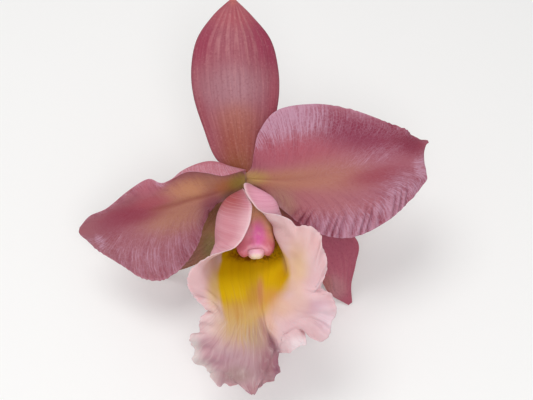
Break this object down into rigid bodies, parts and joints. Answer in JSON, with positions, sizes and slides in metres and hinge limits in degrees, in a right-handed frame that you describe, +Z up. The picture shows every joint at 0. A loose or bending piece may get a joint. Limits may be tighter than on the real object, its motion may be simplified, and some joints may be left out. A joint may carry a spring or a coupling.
{
  "type": "cattleya orchid flower",
  "caption": "Single picked cattleya orchid flower with rose sepals and petals and a ruffled, yellow-throated lip, lying on its back.",
  "frame": {"origin": "centre of the object's box, on the surface that the flower lies on", "axes": "+Z up; the flower's face leans 35 degrees from +Z toward -Y; the lip is on the -Y side, and +X is to the right of the flower seen from in front"},
  "size_m": [0.1466, 0.1502, 0.0856],
  "materials": {
    "sepal": "satin petal tissue, rose with a brownish base",
    "petal": "satin petal tissue, rose with pale net veins and a tan midrib",
    "lip": "satin petal tissue, pale pink with a yellow throat",
    "column": "waxy pink",
    "anther_cap": "waxy cream",
    "pollinium": "yellow wax",
    "stalk": "waxy green"
  },
  "bodies": {
    "root": {"dorsal_sepal": "sepal", "left_lateral_sepal": "sepal", "right_lateral_sepal": "sepal", "left_petal": "petal", "right_petal": "petal", "lip": "lip", "column": "column", "anther_cap": "anther_cap", "pollinium_1": "pollinium", "pollinium_2": "pollinium", "pollinium_3": "pollinium", "pollinium_4": "pollinium", "ovary_and_pedicel": "stalk"}
  },
  "joints": []
}
